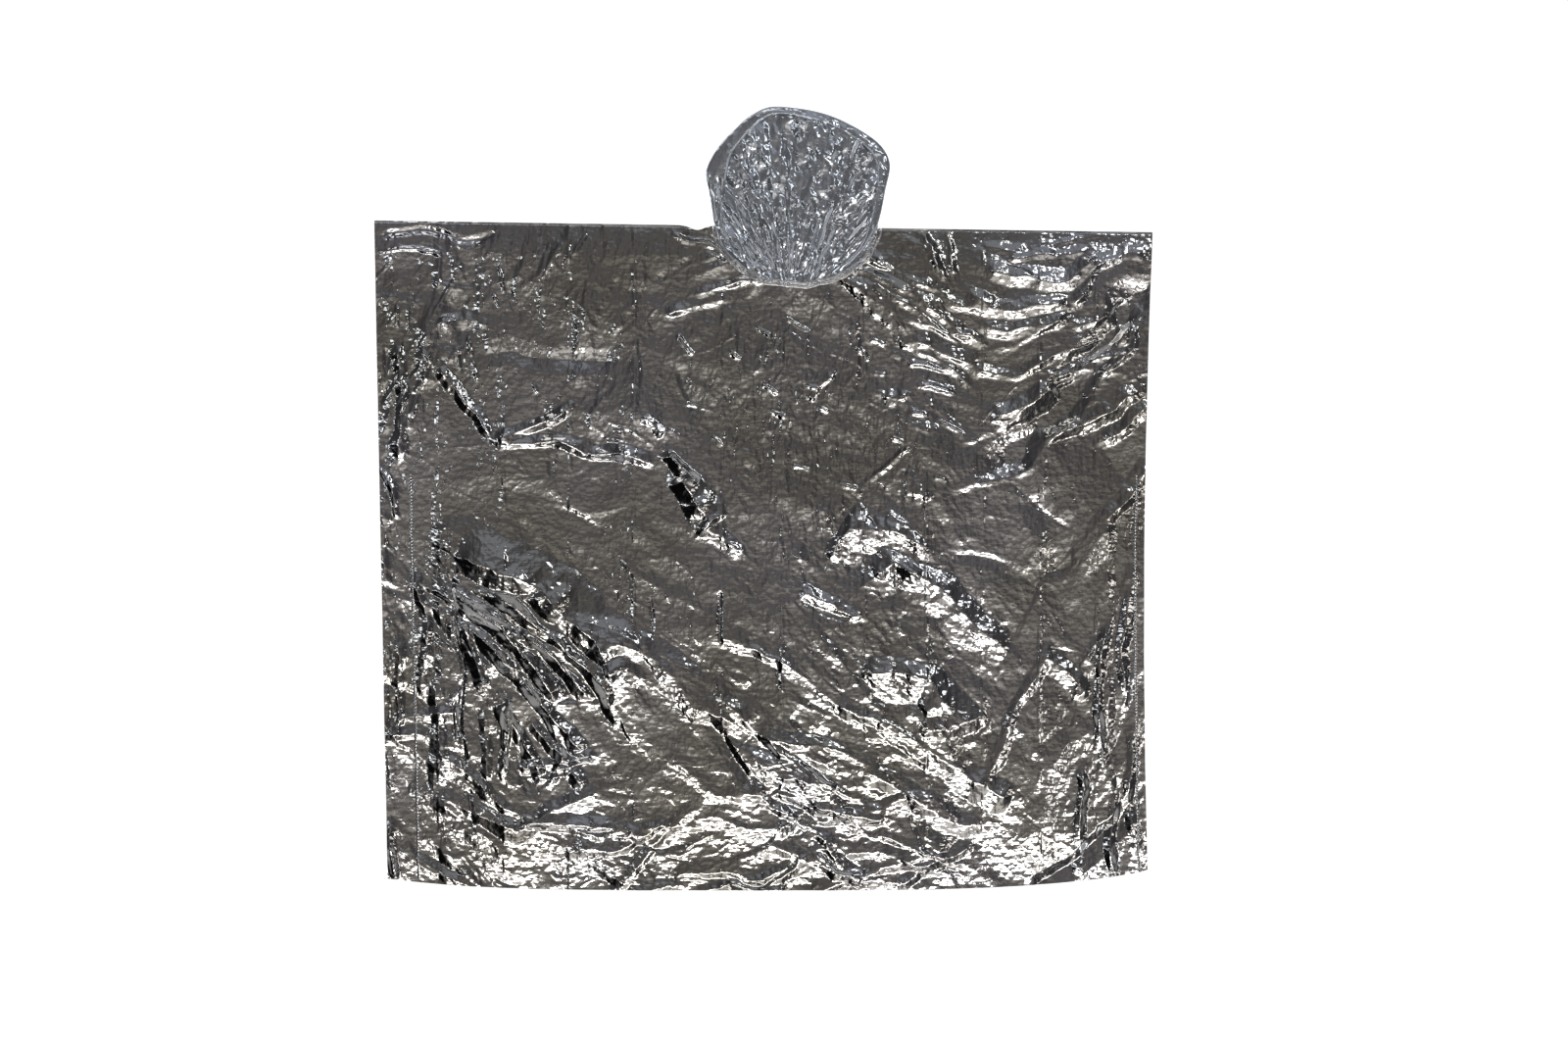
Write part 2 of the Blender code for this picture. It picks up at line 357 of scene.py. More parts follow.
# Folds of the front, in millimetres: height, widths to the right and to the left of the line,
# and the line's points. A height under 0 is a furrow.
FRONT_FOLDS = in_metres([
    # Beside the hood.
    (3.6, 13, 30, (112, 356), (160, 337), (211, 306), (240, 262), (297, 231), (354, 202)),
    (2.8, 10, 12, (150, 332), (200, 296), (236, 248), (290, 216), (345, 176)),
    (3, 11, 14, (126, 358), (166, 369), (240, 335), (274, 312), (331, 267), (362, 250)),
    (2.2, 8, 9, (176, 352), (232, 322), (262, 300), (318, 256)),
    (2.2, 8, 12, (160, 386), (211, 378), (251, 350), (331, 307)),
    (2.2, 8, 10, (234, 300), (291, 278), (349, 266)),
    (2.6, 8, 10, (251, 438), (266, 415), (285, 369), (296, 346)),
    (2.2, 7, 9, (296, 438), (302, 409), (307, 358)),
    (2.8, 9, 14, (-158, 303), (-125, 313), (-67, 324)),
    (2.8, 9, 10, (-118, 332), (-67, 343), (0, 350)),
    (-6.3, 20, 22, (-128, 446), (-95, 425), (-60, 394)),
    (4.2, 6, 6, (-145, 438), (-105, 416), (-62, 390)),
    # Upper right.
    (-8.5, 34, 33, (374, 50), (455, 130), (520, 205), (573, 290), (628, 355)),
    (2.2, 9, 12, (356, 403), (390, 407), (425, 415)),
    (2.8, 11, 14, (396, 394), (441, 400), (482, 403), (530, 405)),
    (1.8, 7, 9, (460, 415), (503, 423), (548, 431)),
    (4.8, 19, 22, (356, 368), (410, 360), (451, 358), (493, 363), (524, 378), (556, 390)),
    (3.2, 12, 20, (500, 316), (529, 345), (545, 373), (586, 393), (630, 398)),
    (4, 17, 18, (330, 328), (374, 307), (415, 301), (451, 314), (492, 321)),
    (3.4, 15, 16, (356, 283), (400, 270), (441, 275), (490, 292)),
    (2.2, 8, 14, (498, 276), (544, 300), (582, 324)),
    (5, 23, 24, (368, 134), (415, 147), (462, 173), (503, 193), (524, 208)),
    (4.6, 17.5, 12, (519, 204), (554, 238), (580, 265), (606, 294)),
    (2.2, 8.2, 9, (547, 189), (585, 222), (606, 254), (612, 288)),
    (4.6, 17.5, 22, (452, 97), (503, 116), (554, 142), (610, 175)),
    (3.8, 14.5, 18, (552, 96), (590, 120), (634, 150)),
    (2.4, 10, 14, (350, 197), (400, 203), (441, 218), (480, 235)),
    (1.8, 7, 9, (274, 323), (312, 311), (356, 305)),
    (1.8, 7, 9, (210, 250), (245, 223), (298, 202)),
    (1.8, 7, 9, (248, 183), (276, 176), (308, 168)), (1.6, 7, 9, (186, 175), (238, 167)),
    (3.6, 12, 20, (560, -36), (600, 10), (626, 65)),
    # Lower right.
    (5, 30, 16, (112, -94), (146, -42), (219, -62), (272, -72)),
    (7.2, 42, 30, (162, -132), (216, -110), (288, -142), (349, -214), (400, -250)),
    (6.6, 40, 28, (162, -292), (272, -292), (344, -372)),
    (6, 34, 30, (288, -352), (326, -448), (410, -505)),
    (2.4, 12, 14, (368, -458), (400, -390), (437, -306), (456, -248)),
    (4.6, 24, 18, (448, -250), (485, -275), (524, -322)),
    (2.2, 26, 35, (514, -114), (558, -70), (604, 36)),
    (2.2, 32, 26, (540, -355), (570, -320), (602, -284)),
    (2.2, 35, 26, (464, -452), (500, -400), (545, -364)),
    (-6, 30, 13.5, (430, -634), (500, -590), (547, -554), (622, -474)),
    (1.8, 19, 22, (560, -470), (590, -420), (626, -350)),
    (1.8, 19, 22, (575, -250), (600, -190), (622, -130)),
    (3.6, 18, 24, (162, -439), (250, -490), (354, -554)),
    (-2.4, 32, 32, (440, 10), (465, -60), (480, -130)),
    (5, 12, 12, (596, -120), (588, -240), (596, -330)),
    (4.6, 12, 11, (560, -200), (548, -330), (556, -440)),
    (5, 12, 12, (606, -380), (598, -480), (606, -590)),
    (4.4, 11, 11, (520, -440), (512, -530), (520, -610)),
    (4.4, 11, 10, (574, -480), (562, -560), (570, -630)),
    # Middle.
    (3, 10, 10, (-198, 130), (-165, 102)), (4.8, 18, 10, (-158, 82), (-135, 52), (-108, 32)),
    (9, 22, 30, (-141, 40), (-115, -10), (-86, -52)),
    (4, 18, 14, (-104, -52), (-70, -70), (-35, -94)),
    (4, 18, 40, (-290, -215), (-229, -240), (-176, -268), (-150, -294), (-106, -350), (-19, -386)),
    (3.8, 18, 32, (-70, -228), (-13, -245), (32, -274), (101, -319), (226, -390)),
    (3.8, 12, 14, (-286, 84), (-230, 72), (-173, 56)),
    (3.6, 18, 18, (60, -150), (110, -170), (150, -210)),
    # Left.
    (4, 10, 16, (-437, 89), (-349, 86), (-256, 76), (-200, 64)),
    (4.8, 12, 12, (-437, 96), (-375, 118), (-314, 144)),
    (5.6, 14, 12, (-528, 212), (-461, 142), (-447, 100)),
    (-4.4, 10, 8, (-632, 428), (-507, 431), (-430, 426)),
    (2, 3, 6, (-634, 399), (-580, 398), (-528, 396)),
    (2.4, 18, 10, (-531, 292), (-490, 302), (-450, 278)),
    (-3, 20, 24, (-461, 234), (-350, 228), (-243, 217)),
    (12.5, 30, 60, (-496, -90), (-389, -134), (-269, -236), (-232, -345)),
    (8, 20, 17, (-440, -152), (-345, -218), (-268, -304), (-244, -352)),
    (7, 17, 15, (-405, -208), (-338, -260), (-284, -335)),
    (9.2, 22, 20, (-509, -142), (-440, -204), (-380, -266), (-325, -340)),
    (6.4, 16, 14, (-470, -222), (-412, -276), (-352, -345)),
    (6.2, 16, 9, (-482, -215), (-474, -260), (-460, -300)),
    (4.8, 12, 6, (-421, -327), (-418, -385), (-424, -444)),
    (6, 15, 13, (-400, -300), (-345, -350), (-300, -415)),
    (5, 12.5, 12, (-372, -372), (-330, -420), (-296, -470)),
    (5.6, 14, 12, (-440, -340), (-395, -390), (-362, -450)),
    (4, 6, 10, (-622, 49), (-600, 20), (-594, -34)),
    (5, 14, 14, (-600, 250), (-585, 170), (-590, 60)),
    (4.4, 22, 20, (-560, -478), (-482, -508), (-403, -549), (-339, -508), (-275, -478)),
    (3.4, 10, 12, (-403, -438), (-340, -428), (-283, -423)),
    (3.4, 14, 12, (-600, -359), (-550, -357), (-496, -356)),
    (5, 10, 12, (-612, -540), (-606, -620)), (5, 12, 12, (-560, -110), (-552, -230), (-558, -330)),
    (4.8, 12, 12, (-600, -180), (-592, -300), (-600, -400)),
    (4.6, 11, 12, (-536, -300), (-528, -400), (-536, -480)),
    (4, 10, 11, (-458, -350), (-454, -410), (-460, -490)),
    (3.4, 9, 10, (-338, -372), (-334, -420), (-342, -460)),
    # Narrow slits where the film doubles under at a packing crease.
    (-2.8, 6.5, 6, (-500, -130), (-497, -300), (-494, -455)),
    (-1.6, 3.8, 3.4, (-184, -158), (-184, -230)), (-2.2, 5.6, 4.4, (-67, -150), (-67, -238)),
    (-1.8, 4.4, 4, (19, -270), (20, -315)), (-1.4, 3.4, 3.4, (-242, -150), (-242, -165)),
    (-1.8, 4.4, 4, (-508, -330), (-506, -395)), (-2, 4.6, 4.6, (-395, -370), (-398, -430)),
    (-1.6, 4, 4, (-484, -470), (-480, -540)),
])
# Short nicks of the upper left, in millimetres: start and end.
NICKS = [
    ((-490, 268), (-478, 234)), ((-504, 247), (-496, 212)), ((-475, 226), (-464, 196)),
    ((-560, 258), (-542, 217)), ((-578, 311), (-573, 276)), ((-437, 337), (-429, 308)),
    ((-422, 382), (-414, 340)), ((-374, 186), (-367, 172)), ((-600, 310), (-598, 280)),
]
# Short pleats below the neck and to its right, in millimetres: start and end.
DASHES = [
    ((40, 298), (78, 276)), ((-137, 270), (-107, 242)), ((176, 262), (200, 257)),
    ((237, 224), (291, 202)), ((257, 183), (302, 169)), ((195, 170), (237, 161)),
    ((-130, 148), (-88, 142)), ((158, 245), (172, 232)), ((181, 214), (200, 208)),
    ((71, 187), (90, 183)), ((5, 140), (30, 133)), ((-8, 186), (16, 173)), ((-8, 280), (12, 269)),
    ((45, 57), (80, 51)), ((288, 118), (331, 105)), ((246, 136), (266, 132)),
    ((203, 101), (223, 94)), ((212, 76), (230, 84)), ((88, 152), (104, 145)),
    ((-52, 242), (-36, 232)), ((-90, 104), (-74, 93)), ((-160, 112), (-140, 105)),
    ((278, 34), (298, 25)), ((120, 20), (150, 12)),
]
FRONT_FOLDS += in_metres([(1.6, 2.4, 5.0, *nick) for nick in NICKS])
FRONT_FOLDS += in_metres([(1.7, 6.2, 4.0, *dash) for dash in DASHES])
# Spots more or less crumpled than the film round them: x, y, reach (metres), how much more.
CRUMPLED = [
    (0.5, 0.38, 0.12, -0.03), (0.25, 0.28, 0.11, -0.14), (-0.58, -0.2, 0.12, 0.12),
    (-0.6, 0.16, 0.07, 0.24), (0.2, -0.1, 0.09, 0.2), (0.28, -0.2, 0.09, 0.02),
    (0.14, -0.58, 0.13, 0.34), (0.08, 0.2, 0.1, 0.06), (0.5, -0.06, 0.13, -0.2),
    (0.57, -0.22, 0.1, -0.4), (0.57, -0.38, 0.11, -0.5), (0.56, -0.56, 0.12, -0.55),
    (0.42, -0.56, 0.11, -0.42), (-0.52, -0.54, 0.12, -0.14), (-0.34, -0.22, 0.1, -0.04),
    (-0.32, -0.38, 0.09, -0.12), (0.53, 0.18, 0.1, -0.05), (-0.14, -0.14, 0.12, -0.12),
    (-0.3, -0.04, 0.1, -0.1), (-0.19, -0.33, 0.06, -0.34), (-0.06, -0.54, 0.1, -0.26),
    (0.3, -0.4, 0.07, -0.16), (-0.3, -0.34, 0.08, -0.14), (-0.4, 0.03, 0.07, 0.12),
    (-0.46, -0.36, 0.14, -0.1),
]


def crumpling(x, y):
    """How crumpled the front is, 0 to 1: slack and crumpled towards the hem, pulled smooth above."""
    fall = np.clip((-0.06 - y) / 0.46, 0, 1)
    amount = 0.14 + 0.31 * fall + 0.12 * smooth_noise(x, y, 0.13, SEED + 3)
    for cx, cy, reach, more in CRUMPLED:
        amount = amount + more * np.exp(-((x - cx) ** 2 + (y - cy) ** 2) / reach**2)
    patches = 0.75 * facets(x, y, 0.07, SEED + 13, 2.0, -0.55)
    patches += 0.45 * facets(x, y, 0.03, SEED + 14, 2.0, -0.55)
    share = np.clip(0.52 + 1.35 * patches, 0.08, 1.25)
    return np.clip(amount * (1 - fall * 0.9 + fall * 0.9 * share), 0.08, 1.0)


def swell(x, y):
    """The film stands higher across the lower middle and falls away to the hem."""
    rise = np.clip((y - hem_y(x)) / 0.26, 0, 1)
    middle = np.exp(-(((x - 0.08) / 0.28) ** 4))
    return 0.005 * rise * rise * (3 - 2 * rise) * middle * np.clip((0.15 - y) / 0.5, 0, 1)


def pleats(x, y):
    """The packing creases: a thin pinched line each, and a shallow rise to every second one."""
    lines = sorted(CREASES["left"] + MIDDLE_CREASES + CREASES["right"])
    relief = np.zeros_like(x)
    for k, line in enumerate(lines):
        wander = 0.0015 * smooth_noise(x * 0, y, 0.12, SEED + k)
        d = x - line - wander
        if k % 2:
            relief += 0.0016 * tent(d, 0.05, 0.05)
        pinch = np.clip(0.3 + 1.2 * smooth_noise(x * 0, y, 0.03, SEED + 40 + k), -0.6, 1)
        relief += 0.0007 * pinch * tent(d, 0.003, 0.0045)
    return relief


def neck_pucker(x, y):
    """Short folds that radiate from the weld round the neck."""
    r = neck_radius(x, y)
    angle = np.arctan2((y - shoulder_y(x)) / NECK_DEPTH, (x - NECK_X) / NECK_HALF_WIDTH)
    fan = facets(angle * 0.13, r * 0.05, 0.016, SEED + 31)
    return 0.0013 * fan * np.clip((1.75 - r) / 0.6, 0, 1)


# Ways the small creases run: angle, how drawn out, and spots (x, y, reach) where they do so.
FLOWS = [
    (-0.62, 3.0, [(-0.35, -0.15, 0.24), (0.00, -0.35, 0.24), (0.25, -0.15, 0.22), (0.2, 0.28, 0.15),
                  (0.35, -0.38, 0.18), (-0.45, -0.5, 0.14)]),
    (0.45, 3.4, [(0.52, 0.28, 0.2), (-0.12, 0.32, 0.1), (-0.1, -0.52, 0.1)]),
    (1.35, 3.0, [(-0.55, 0.25, 0.18), (-0.3, 0.28, 0.2), (0.08, 0.15, 0.18), (0.55, -0.08, 0.16),
                 (-0.57, -0.35, 0.1), (0.54, -0.45, 0.14)]),
    (0.05, 2.2, [(-0.55, 0.42, 0.1), (-0.35, 0.05, 0.14), (0.1, -0.58, 0.2), (0.42, 0.4, 0.12),
                 (-0.28, -0.52, 0.14)]),
]


def flow_shares(x, y):
    """The share of each flow at each point; they add up to 1."""
    weights = []
    for _, _, spots in FLOWS:
        weight = np.full(x.shape, 1e-4)
        for sx, sy, reach in spots:
            weight += np.exp(-((x - sx) ** 2 + (y - sy) ** 2) / reach**2)
        weights.append(weight**1.5)
    total = sum(weights)
    return [w / total for w in weights]


# Facets: height, what is left of it where the film is smooth, size, how drawn out, and turn.
FACET_SCALES = [
    (0.0036, 0.12, 0.044, 1, 0), (0.0014, 0.14, 0.019, 1, 0.25), (0.0008, 0.18, 0.0085, 0.8, -0.35),
]
# Pinched lines: height, what is left where smooth, size of the cells, width, and turn.
PINCH_SCALES = [
    (0.0015, 0.14, 0.036, 0.0036, -0.15), (0.001, 0.14, 0.017, 0.0024, 0.2),
    (0.0006, 0.12, 0.008, 0.0018, 0.45),
]


def small_creases(x, y, rough):
    """Facets and pinched lines that run the way of the film's pull at each place."""
    relief = np.zeros_like(x)
    for k, ((angle, stretch, _), share) in enumerate(zip(FLOWS, flow_shares(x, y))):
        here = share > 0.04
        u, v, r = x[here], y[here], rough[here]
        seed = SEED + 100 * k
        bumps = 0
        for n, (height, least, size, drawn, turn) in enumerate(FACET_SCALES, 1):
            shape = facets(u, v, size, seed + n, stretch * drawn, angle + turn)
            bumps += height * (least + r) * shape
        for n, (height, least, size, width, turn) in enumerate(PINCH_SCALES, 4):
            shape = crinkles(u, v, size, width, seed + n, stretch, angle + turn)
            bumps += height * (least + r) * shape
        relief[here] += share[here] * bumps
    return relief


def upright_wrinkles(x, y):
    """Fine upright wrinkles that hang down the middle from the neck."""
    spread = np.exp(-(((x - 0.09) / 0.2) ** 2) - ((y - 0.08) / 0.28) ** 2)
    relief = 0.0007 * facets(x, y, 0.013, SEED + 34, 8.0, 1.5)
    relief += 0.0004 * facets(x, y, 0.007, SEED + 35, 8.0, 1.62)
    relief += 0.0007 * crinkles(x, y, 0.02, 0.004, SEED + 36, 7.0, 1.57)
    return relief * spread


# The strewn folds: how many, ranges of their lengths, heights and widths, how lopsided they are,
# and how crumpled the film must be where they lie.
STREWN = [
    (150, (0.05, 0.15), (0.0012, 0.0028), (0.005, 0.012), 4.0, 0.0),
    (420, (0.03, 0.1), (0.0004, 0.001), (0.0018, 0.0035), 2.5, 0.0),
    (60, (0.09, 0.22), (0.0024, 0.004), (0.007, 0.014), 3.0, 0.24),
]


def front_relief(x, y):
    """The whole relief of the front film, before it is pressed flat at the welds."""
    rough = crumpling(x, y)
    bent_x = x + 0.01 * smooth_noise(x, y, 0.07, SEED + 50) + 0.003 * facets(x, y, 0.03, SEED + 51)
    bent_y = y + 0.01 * smooth_noise(x, y, 0.07, SEED + 52) + 0.003 * facets(x, y, 0.03, SEED + 53)
    relief = 0.005 * (1 + facets(x, y, 0.115, SEED, stretch=1.7, angle=-0.7)) * 0.5
    curled_x = x + 0.018 * smooth_noise(x, y, 0.11, SEED + 54)
    curled_y = y + 0.018 * smooth_noise(x, y, 0.11, SEED + 55)
    larger = pleats(x, y) + neck_pucker(x, y) + swell(x, y)
    relief += small_creases(curled_x, curled_y, rough) + larger + upright_wrinkles(x, y)
    folds = list(FRONT_FOLDS)
    for k, strewn in enumerate(STREWN):
        folds += scattered_folds(*strewn, seed=SEED + 200 + k)
    add_folds(relief, (x, y), (bent_x, bent_y), folds)
    return relief


def open_share(x, y):
    """0 where the two layers are welded or folded together, 1 where they part."""
    from_fold = top_y(x) - y
    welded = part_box("side_seal_left")[1][1]
    below = np.clip((welded - y) / 0.08, 0, 1)
    to_weld = np.minimum(
        np.abs(x - left_x(y) - WELD_INSET["left"]), np.abs(right_x(y) - WELD_INSET["right"] - x)
    )
    share = 1 - below * (1 - np.clip(to_weld / 0.045, 0.72, 1))
    fallen = 0.35 + 0.65 * np.clip(from_fold / 0.05, 0, 1)
    return share * fallen * np.clip(from_fold / 0.0024, 0.03, 1)


def back_height(x, y):
    relief = 0.0006 * facets(x, y, 0.09, SEED + 60) + 0.0004 * facets(x, y, 0.03, SEED + 61)
    return np.maximum(BACK_LEVEL + relief, LOWEST)


def front_height(x, y):
    relief = np.maximum(front_relief(x, y) + FRONT_LEVEL - BACK_LEVEL, 0.0002)
    return back_height(x, y) + LAYER_GAP + relief * open_share(x, y)


# ---------------- meshes


def sheet_object(name, x, y, z, normals, material, keep=None):
    """A grid of points as a mesh, with the plan kept as a UV map and the map's own normals."""
    rows, columns = x.shape
    index = np.arange(rows * columns).reshape(rows, columns)
    corners = [index[:-1, :-1], index[:-1, 1:], index[1:, 1:], index[1:, :-1]]
    quads = np.stack(corners, -1).reshape(-1, 4)
    if keep is not None:
        kept = keep.ravel()
        quads = quads[kept[quads].all(axis=1)]
    used = np.unique(quads)
    renumber = np.full(rows * columns, -1)
    renumber[used] = np.arange(len(used))
    quads = renumber[quads]
    points = np.stack([x.ravel(), y.ravel(), z.ravel()], -1)[used]
    mesh = bpy.data.meshes.new(name)
    mesh.vertices.add(len(points))
    mesh.vertices.foreach_set("co", points.astype(np.float32).ravel())
    mesh.loops.add(quads.size)
    mesh.loops.foreach_set("vertex_index", quads.ravel().astype(np.int32))
    mesh.polygons.add(len(quads))
    mesh.polygons.foreach_set("loop_start", np.arange(0, quads.size, 4, dtype=np.int32))
    mesh.update(calc_edges=True)
    mesh.polygons.foreach_set("use_smooth", np.ones(len(quads), bool))
    plan = mesh.uv_layers.new(name="plan")
    plan.data.foreach_set("uv", points[quads.ravel()][:, :2].astype(np.float32).ravel())
    if normals is not None:
        mesh.normals_split_custom_set_from_vertices(normals.reshape(-1, 3)[used].tolist())
    mesh.materials.append(material)
    piece = bpy.data.objects.new(name, mesh)
    bpy.context.scene.collection.objects.link(piece)
    return piece


def top_y(x):
    """The shoulder fold, with the small dip where the film is drawn down beside the hood."""
    return shoulder_y(x) - 0.0075 * np.exp(-(((x + 0.108) / 0.015) ** 2))


def body_grid(inner_x, outer_x, cell):
    """Points between two boundaries. A boundary is a fixed x or a function of y."""
    rows = int(round((TOP_LEFT[1] - CAD_BOX[0][1]) / cell))
    v = np.linspace(0, 1, rows + 1)[:, None]

    def boundary(b, y):
        return b(y) if callable(b) else b + 0 * y

    middle_y = CAD_BOX[0][1] + v * (TOP_LEFT[1] - CAD_BOX[0][1])
    low, high = boundary(inner_x, middle_y), boundary(outer_x, middle_y)
    if low.mean() > high.mean():
        inner_x, outer_x, low, high = outer_x, inner_x, high, low
    columns = max(2, int(round(np.abs(high - low).max() / cell)))
    u = np.linspace(0, 1, columns + 1)[None, :]
    x = low + (high - low) * u
    for _ in range(3):
        y = hem_y(x) + v * (top_y(x) - hem_y(x))
        x = boundary(inner_x, y) * (1 - u) + boundary(outer_x, y) * u
    return x, hem_y(x) + v * (top_y(x) - hem_y(x))


def body_spans():
    """(suffix, from x, to x, body on the left, body on the right, crease x), the centre last."""
    spans = []
    for side, lines in CREASES.items():
        outwards = -1 if side == "left" else 1
        edge = left_x if side == "left" else right_x
        middles = [(a + b) / 2 for a, b in zip(lines, lines[1:])]
        starts = [lines[0] - outwards * CENTRE_REACH] + middles
        ends = middles + [edge]
        bodies = ["centre"] + [f"{side}_strip_{i + 1}" for i in range(STRIPS)]
        for i in range(STRIPS):
            spans.append((f"{side}_{i + 1}", starts[i], ends[i], bodies[i], bodies[i + 1], lines[i]))
    low, high = CREASES["left"][0] + CENTRE_REACH, CREASES["right"][0] - CENTRE_REACH
    return spans + [("centre", low, high, "centre", "centre", None)]


def add_body(layer, height_map, material):
    """All the sheets of one layer, front or back."""
    made = []
    for suffix, start, end, inner_body, outer_body, crease in body_spans():
        x, y = body_grid(start, end, CELL if layer == "front" else BACK_CELL)
        keep = neck_radius(x, y) > NECK_HOLE if suffix == "centre" else None
        z, normals = height_map.heights(x, y), height_map.normals(x, y)
        piece = sheet_object(f"{layer}_film_{suffix}", x, y, z, normals, material, keep)
        shoulders = [f"shoulder_fold_{suffix}"]
        if crease is None:
            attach(piece, "centre")
            shoulders = ["shoulder_fold_centre_left", "shoulder_fold_centre_right"]
        else:
            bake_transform(piece)
        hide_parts(f"{layer}_panel_{suffix}", *(shoulders if layer == "front" else []))
        made.append(piece)
    return made


def distances(path):
    """How far along a path each of its points is."""
    return np.concatenate([[0], np.cumsum(np.hypot(*np.diff(path, axis=0).T))])


def swept_strip(name, path, offsets, wobble, level, material):
    """A strip along a path. wobble(along) shifts it sideways and level(along, x, y) lifts it."""
    way = np.gradient(path, axis=0)
    way /= np.linalg.norm(way, axis=1, keepdims=True)
    along = distances(path)[:, None]
    across = offsets + wobble(along)
    x = path[:, :1] + way[:, 1:] * across
    y = path[:, 1:] - way[:, :1] * across
    return sheet_object(name, x, y, level(along, x, y), None, material)


def path_length(path):
    return np.hypot(*np.diff(path, axis=0).T).sum()


def resampled(path, step):
    """The same line with points every step along it."""
    path = np.asarray(path, float)
    along = distances(path)
    count = max(2, int(along[-1] / step))
    places = np.linspace(0, along[-1], count + 1)
    return np.stack([np.interp(places, along, path[:, 0]), np.interp(places, along, path[:, 1])], -1)


def smooth_path(points, step=0.002):
    """A soft line through the points."""
    p = np.asarray(points, float)
    p = np.concatenate([[2 * p[0] - p[1]], p, [2 * p[-1] - p[-2]]])
    line = []
    for a, b, c, d in zip(p, p[1:], p[2:], p[3:]):
        for t in np.linspace(0, 1, 16, endpoint=False):
            bend, twist = 2 * a - 5 * b + 4 * c - d, 3 * b - a - 3 * c + d
            line.append(0.5 * (2 * b + (c - a) * t + bend * t**2 + twist * t**3))
    return resampled(line + [p[-2]], step)


SIDE_WELD_HALF = 0.0024
SIDE_WELD_DOT = 0.0052
NECK_WELD_HALF = 0.0052
NECK_RIDGE = 0.0024
NECK_WELD_LIFT = {"front": 0.0026, "back": 0.0006}


def add_side_weld(side, front_map, material):
    """The line of welded dots a little way in from a side edge."""
    low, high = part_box(f"side_seal_{side}")
    edge, inset = (left_x, WELD_INSET["left"]) if side == "left" else (right_x, -WELD_INSET["right"])
    y = np.arange(low[1], high[1], 0.0012)
    path = np.stack([edge(y) + inset, y], -1)
    offsets = np.linspace(-SIDE_WELD_HALF, SIDE_WELD_HALF, 7)

    def wobble(along):
        return 0.0007 * smooth_noise(along, along * 0, 0.03, SEED + 70)

    def level(along, x, y):
        bead = 0.5 + 0.5 * np.cos(along * 2 * math.pi / SIDE_WELD_DOT)
        ridge = np.exp(-((offsets / 0.0011) ** 2))
        base = front_map.heights(path[:, :1], path[:, 1:])
        return base + 0.0001 + 0.0012 * ridge * (0.35 + 0.65 * bead)

    piece = swept_strip(f"side_weld_{side}", path, offsets, wobble, level, material)
    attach(piece, f"{side}_strip_{STRIPS}")
    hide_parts(f"side_seal_{side}")
    return piece


def neck_path():
    angles = np.linspace(math.pi, 2 * math.pi, 220)
    x = NECK_X + NECK_HALF_WIDTH * np.cos(angles)
    y = shoulder_y(x) + NECK_DEPTH * np.sin(angles)
    return np.stack([x, y], -1)


def add_neck_weld(layer, height_map, material):
    """The curved weld between the body's film and the hood's, two puckered ridges wide."""
    offsets = np.linspace(-NECK_WELD_HALF, NECK_WELD_HALF, 15)

    def wobble(along):
        return 0.0016 * smooth_noise(along, along * 0, 0.022, SEED + 80)

    def level(along, x, y):
        ridges = np.exp(-(((np.abs(offsets) - NECK_RIDGE) / 0.0012) ** 2))
        pucker = 1 + 0.5 * smooth_noise(along, along * 0, 0.006, SEED + 81)
        lift = NECK_WELD_LIFT[layer] * ridges * pucker
        return np.maximum(height_map.heights(x, y) + 0.0003 + lift, LOWEST)

    piece = swept_strip(f"neck_weld_{layer}", neck_path(), offsets, wobble, level, material)
    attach(piece, "centre")
    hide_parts(f"neck_seal_{layer}")
    return piece


# ---------------- hood


# The middle of the hood, the point its creases fan out from, its levels, and how much of its
# width slopes down to the rim.
HOOD_MIDDLE = np.array([0.052, 0.492])
HOOD_FAN = (0.045, 0.3)
HOOD_LEVEL = 0.006
HOOD_RIM_LEVEL = 0.0022
HOOD_RIM_SHARE = 0.13
HOOD_CELL = 0.0016
# The turned-over edge lies between these two lines, given in millimetres.
BRIM_OUTER = np.array([
    (-28, 372), (-62, 405), (-80, 447), (-86, 490), (-94, 533), (-75, 572), (-48, 601), (-5, 634),
    (36, 639), (109, 625), (178, 588), (206, 550), (199, 500), (187, 447), (168, 405), (128, 366),
]) / 1000
BRIM_INNER = np.array([
    (-18, 378), (-50, 409), (-65, 447), (-66, 490), (-60, 528), (-53, 560), (-32, 589), (1, 619),
    (36, 626), (104, 611), (165, 575), (185, 545), (184, 500), (174, 450), (157, 412), (122, 373),
]) / 1000
# The edge's section, from its inner line out and under: how near the inner line, and the level.
BRIM_SECTION = [(1.0, 0.0074), (0.86, 0.0104), (0.5, 0.0098), (0.16, 0.0086), (0.02, 0.0072),
                (0.0, 0.005), (0.04, 0.0032), (0.14, 0.0024)]
BRIM_ROWS = 260
BRIM_COLUMNS = 33
BRIM_FOLDS = in_metres([
    (4, 4, 5, (-92, 532), (-86, 508), (-76, 490)), (-5, 5, 5, (-75, 522), (-68, 482)),
    (-4, 4, 6, (-88, 520), (-83, 470), (-78, 450)), (2.6, 4, 6, (-52, 500), (-34, 440), (-14, 396)),
    (-4, 6, 6, (70, 616), (88, 610), (108, 604)), (3, 4, 5, (120, 376), (152, 412), (176, 452)),
    (2.6, 3, 4, (132, 378), (164, 412), (182, 446)),
])
HOOD_FILM_FOLDS = in_metres([
    (5, 10, 16, (158, 590), (150, 545), (128, 492), (104, 446), (94, 400)),
    (3.6, 6, 6, (118, 386), (150, 420), (180, 456)), (3, 5, 5, (134, 392), (160, 420), (184, 446)),
    (3, 8, 10, (-6, 394), (-30, 430), (-50, 497)), (3, 6, 8, (48, 372), (40, 430), (46, 500)),
    (3, 6, 8, (75, 372), (82, 430), (100, 480)),
])


